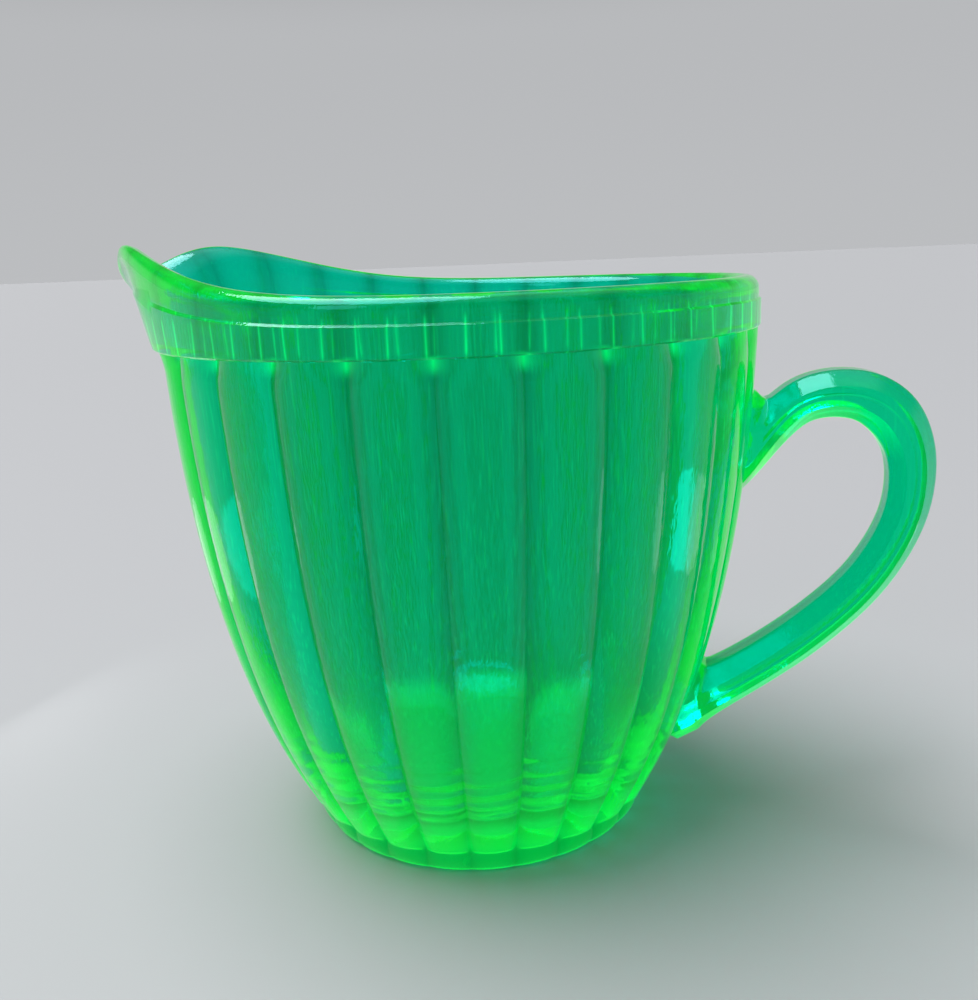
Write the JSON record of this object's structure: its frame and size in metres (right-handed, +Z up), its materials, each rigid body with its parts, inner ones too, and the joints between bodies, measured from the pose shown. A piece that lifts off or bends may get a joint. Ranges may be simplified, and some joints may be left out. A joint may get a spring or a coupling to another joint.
{
  "type": "pressed glass pouring jug",
  "caption": "Fluted pressed-glass pouring jug with a plain rim band, pulled spout and open ear-shaped handle; glows green under ultraviolet light.",
  "frame": {"origin": "centre of the bowl's flat base, on the table", "axes": "+Z up along the bowl's axis, +X from the axis through the handle, the spout points along -X, Y across"},
  "size_m": [0.1474, 0.106, 0.1087],
  "materials": {
    "uranium_glass": "fire-polished pressed soda glass coloured with uranium, fluorescing green under ultraviolet light"
  },
  "bodies": {
    "root": {"jug_body": "uranium_glass", "handle": "uranium_glass"}
  },
  "joints": []
}
